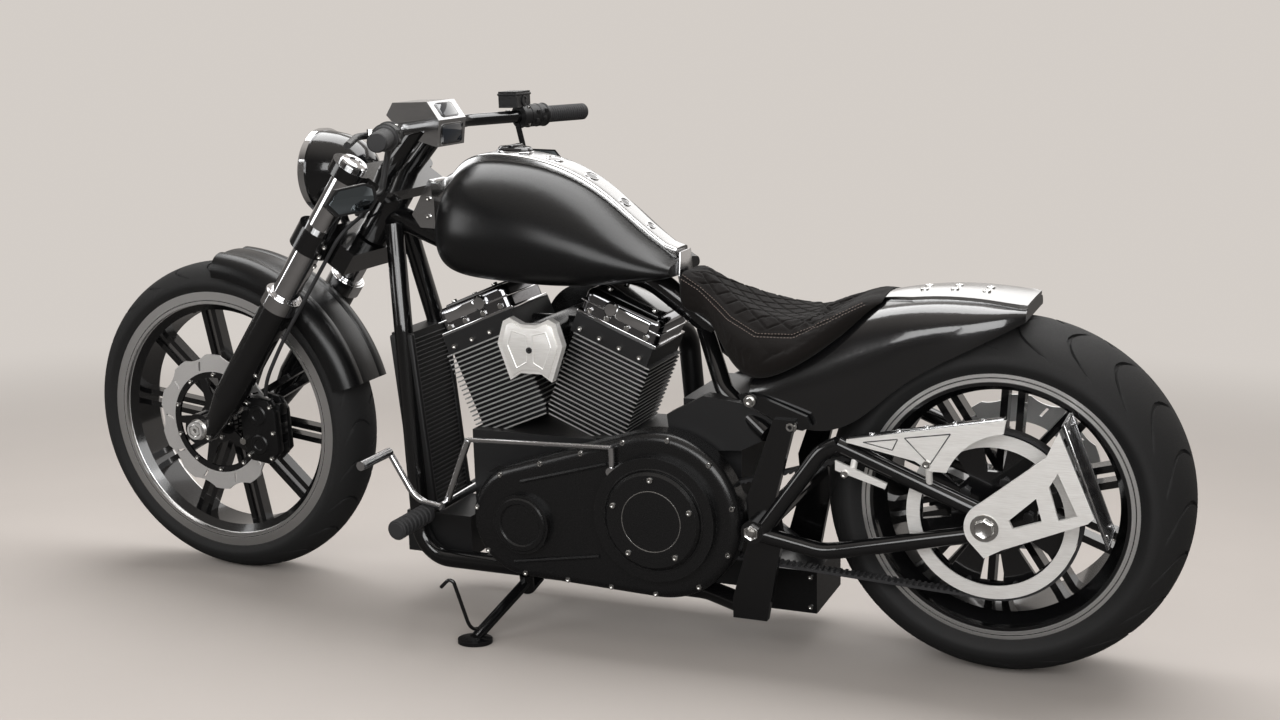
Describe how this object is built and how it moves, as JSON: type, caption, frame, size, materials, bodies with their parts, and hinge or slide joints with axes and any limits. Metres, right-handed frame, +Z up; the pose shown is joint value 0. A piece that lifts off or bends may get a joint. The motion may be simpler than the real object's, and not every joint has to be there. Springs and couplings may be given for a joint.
{
  "type": "chopper motorcycle",
  "caption": "Long, low chopper with a V engine, leaning on its side stand: raked fork, broad rear tyre, teardrop tank with a bright spine, quilted seat and bobbed rear fender",
  "frame": {"origin": "middle of the bounding box's underside, on the ground, with the motorcycle leaning on its side stand", "axes": "+X forwards along the wheelbase, +Y to the rider's left, +Z up"},
  "size_m": [2.3534, 0.8766, 1.0575],
  "materials": {
    "tyre": "matte black rubber",
    "rim": "gloss black cast metal with machined lips",
    "steel": "ground steel",
    "chrome": "bright plating",
    "satin_black": "satin black paint",
    "gloss_black": "gloss black paint",
    "engine_black": "wrinkle black engine paint",
    "aluminium": "brushed and clear-coated",
    "rubber": "matte",
    "lens": "clear",
    "mirror": "black shells with silvered glass",
    "plastic": "satin black",
    "seat": "dark brown suede with stitched diamonds",
    "plate": "bare white sheet"
  },
  "bodies": {
    "chassis": {"rear_axle": "steel", "backbone": "gloss_black", "cradle_tubes": "gloss_black", "rear_frame": "gloss_black", "swingarm": "gloss_black", "drive_belt": "rubber", "engine_case": "engine_black", "cylinders": "engine_black", "cylinder_heads": "engine_black", "rocker_covers": "chrome", "primary_cover": "gloss_black", "derby_cover": "gloss_black", "cam_cover": "engine_black", "pushrod_tubes": "chrome", "coil_cover": "aluminium", "air_cleaner": "gloss_black", "oil_cooler": "plastic", "chin_cover": "plastic", "exhaust": "satin_black", "fuel_tank": "satin_black", "tank_trim": "aluminium", "neck_bracket": "aluminium", "seat": "seat", "rear_fender": "satin_black", "rear_fender_trim": "aluminium", "fender_struts": "gloss_black", "side_covers": "plastic", "belt_guards": "aluminium", "plate_bracket": "aluminium", "side_plate": "plate", "rear_caliper": "satin_black", "foot_pegs": "rubber", "foot_levers": "aluminium"},
    "steering": {"fork_clamps": "gloss_black", "fork_tubes": "chrome", "fork_sliders": "gloss_black", "front_axle": "steel", "front_fender": "satin_black", "fender_brace": "aluminium", "front_caliper": "satin_black", "headlight_shell": "gloss_black", "headlight_ring": "chrome", "headlight_lens": "lens", "handlebar": "gloss_black", "grips": "rubber", "bar_controls": "gloss_black", "mirrors": "mirror", "dash": "aluminium", "brake_hose": "rubber"},
    "front_wheel": {"front_tyre": "tyre", "front_rim": "rim", "front_disc": "steel", "front_disc_carrier": "satin_black"},
    "rear_wheel": {"rear_tyre": "tyre", "rear_rim": "rim", "rear_disc": "steel", "rear_pulley": "satin_black", "pulley_ring": "aluminium"},
    "side_stand": {"side_stand": "gloss_black"}
  },
  "joints": [
    {"name": "steering", "type": "hinge", "parent": "chassis", "child": "steering", "pos_m": [0.41683, -0.01569, 0.79751], "axis": [-0.5736, 0.0714, 0.816], "range_deg": [-26, 26]},
    {"name": "front_wheel_spin", "type": "hinge", "parent": "steering", "child": "front_wheel", "pos_m": [0.83207, -0.05537, 0.34394], "axis": [0, 0.9962, -0.0872], "continuous": true},
    {"name": "rear_wheel_spin", "type": "hinge", "parent": "chassis", "child": "rear_wheel", "pos_m": [-0.85217, -0.05712, 0.32392], "axis": [0, 0.9962, -0.0872], "continuous": true},
    {"name": "stand_fold", "type": "hinge", "parent": "chassis", "child": "side_stand", "pos_m": [0.06183, 0.05211, 0.08087], "axis": [-0.1189, 0.4563, 0.8818], "range_deg": [0, 85]}
  ]
}
